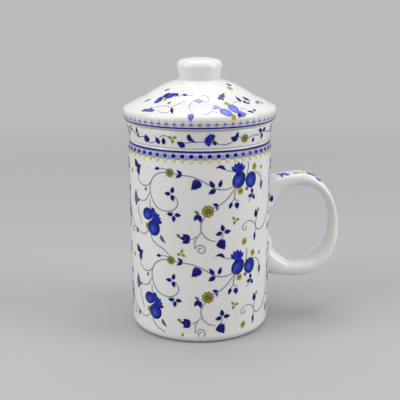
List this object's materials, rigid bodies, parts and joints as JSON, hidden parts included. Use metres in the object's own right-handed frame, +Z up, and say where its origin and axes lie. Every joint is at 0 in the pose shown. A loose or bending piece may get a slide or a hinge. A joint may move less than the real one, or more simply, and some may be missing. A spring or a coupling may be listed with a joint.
{
  "type": "lidded tea mug",
  "caption": "Straight-sided porcelain tea mug with a loop handle, a strainer cup hung in its mouth, and a domed lid with a knob, printed in blue scrolling vine.",
  "frame": {"origin": "on the mug's axis at the table, in the middle of the foot ring", "axes": "+Z up along the mug's axis, +X towards the handle"},
  "size_m": [0.1213, 0.0836, 0.1486],
  "materials": {
    "porcelain": "clear gloss glaze over white porcelain, with a blue, olive and yellow transfer print under it"
  },
  "bodies": {
    "mug": {"mug_body": "porcelain", "mug_handle": "porcelain"},
    "infuser": {"infuser_cup": "porcelain"},
    "lid": {"lid_dome": "porcelain", "lid_knob": "porcelain"}
  },
  "joints": [
    {"name": "infuser_lift", "type": "slide", "parent": "mug", "child": "infuser", "axis": [0, 0, 1], "range_m": [0, 0.08]},
    {"name": "lid_lift", "type": "slide", "parent": "infuser", "child": "lid", "axis": [0, 0, 1], "range_m": [0, 0.04]}
  ]
}
